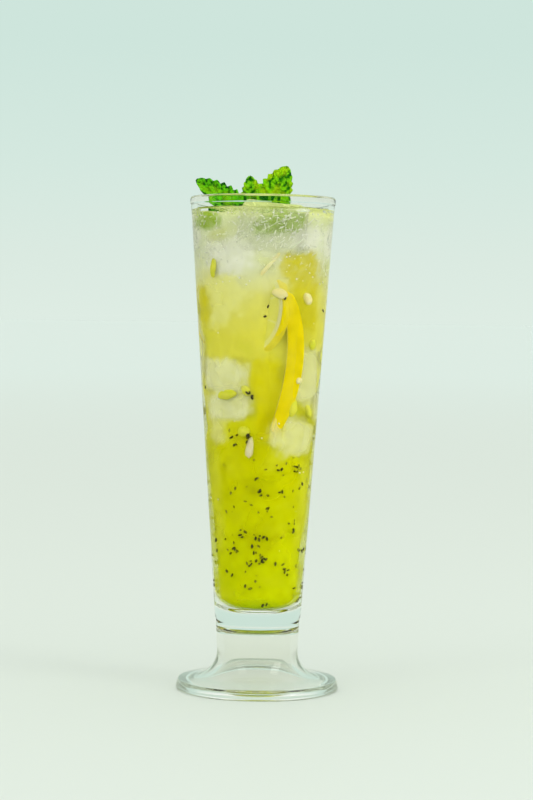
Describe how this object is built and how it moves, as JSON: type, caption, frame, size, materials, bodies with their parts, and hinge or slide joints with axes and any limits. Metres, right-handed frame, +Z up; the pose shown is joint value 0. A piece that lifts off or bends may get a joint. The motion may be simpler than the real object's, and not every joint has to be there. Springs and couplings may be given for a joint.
{
  "type": "glass of kiwi fruit juice",
  "caption": "Tall footed glass of iced kiwi fruit juice: seeded green pulp below, pale juice above, a floating ice cube and a sprig of mint on top.",
  "frame": {"origin": "middle of the foot, on the surface that the glass stands on", "axes": "+Z up along the glass's axis, +X to the drinker's right, -Y towards the drinker"},
  "size_m": [0.0728, 0.0728, 0.2342],
  "materials": {
    "glass": "clear pressed glass",
    "kiwi_pulp": "wet, cloudy, yellow-green",
    "juice": "pale, cloudy, yellow-green",
    "ice": "clear, melted smooth",
    "mint": "quilted leaf, slightly glossy"
  },
  "bodies": {
    "root": {"glass": "glass", "kiwi_pulp": "kiwi_pulp", "juice": "juice", "ice_cube": "ice", "mint_stem": "mint", "mint_leaf_left": "mint", "mint_leaf_middle": "mint", "mint_leaf_right": "mint"}
  },
  "joints": []
}
